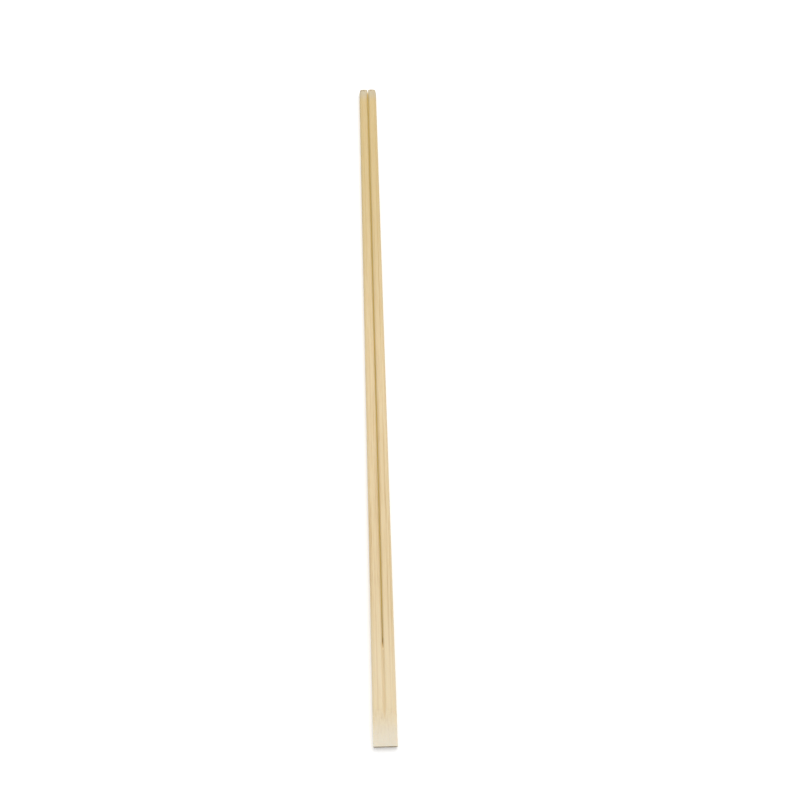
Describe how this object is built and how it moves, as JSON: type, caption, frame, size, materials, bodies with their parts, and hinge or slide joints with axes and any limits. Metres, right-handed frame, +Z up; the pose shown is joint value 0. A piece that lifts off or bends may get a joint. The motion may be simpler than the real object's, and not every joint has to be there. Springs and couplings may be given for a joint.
{
  "type": "pair of bamboo chopsticks",
  "caption": "Unsnapped twin bamboo chopsticks: one tapered blank sawn apart from the tips to a joined head, with a centre groove on both faces and an oblique cut across the head.",
  "frame": {"origin": "under the middle of the pair, on the surface that its back rests on", "axes": "+Y from the joined head to the eating tips, +X across both sticks, +Z up out of the front face, which is the one with the oblique cut"},
  "size_m": [0.0084, 0.24, 0.0043],
  "materials": {
    "bamboo": "planed and tumbled bamboo, bare and unvarnished, with fine straight fibres along the length"
  },
  "bodies": {
    "root": {"chopstick_pair": "bamboo"}
  },
  "joints": []
}
